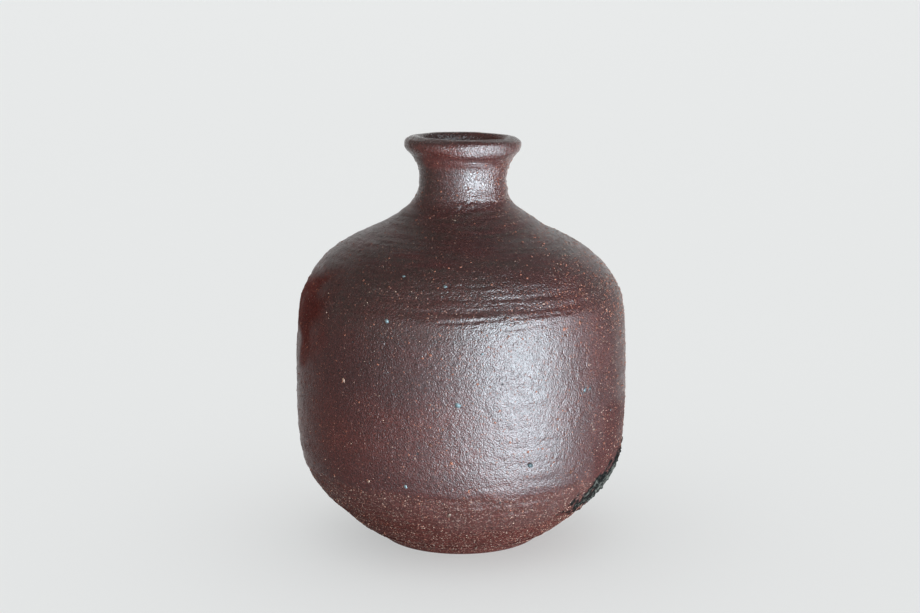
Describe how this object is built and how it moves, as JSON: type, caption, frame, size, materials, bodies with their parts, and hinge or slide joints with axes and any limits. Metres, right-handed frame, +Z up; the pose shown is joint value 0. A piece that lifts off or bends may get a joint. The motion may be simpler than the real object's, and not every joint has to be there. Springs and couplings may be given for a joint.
{
  "type": "sake bottle",
  "caption": "Squat stoneware sake flask: round belly, domed shoulder, short waisted neck and flared rolled lip, hollow and open at the mouth, standing on a small flat base.",
  "frame": {"origin": "centre of the flat base, on the surface that the bottle stands on", "axes": "+Z up along the bottle's axis of turning; +X to the right and -Y towards the viewer"},
  "size_m": [0.1, 0.1, 0.122],
  "materials": {
    "foot_clay": "bare fired stoneware, pared with a tool: red-brown, sandy, almost matt",
    "body_clay": "dark maroon stoneware with a thin fired skin: pebbled, soft semi-gloss, flecked with grit",
    "neck_clay": "dark red-brown stoneware, smoothed by the fingers: semi-gloss, fine throwing rings"
  },
  "bodies": {
    "root": {"base": "foot_clay", "lower_wall": "foot_clay", "belly": "body_clay", "shoulder": "body_clay", "neck": "neck_clay", "lip": "neck_clay"}
  },
  "joints": []
}
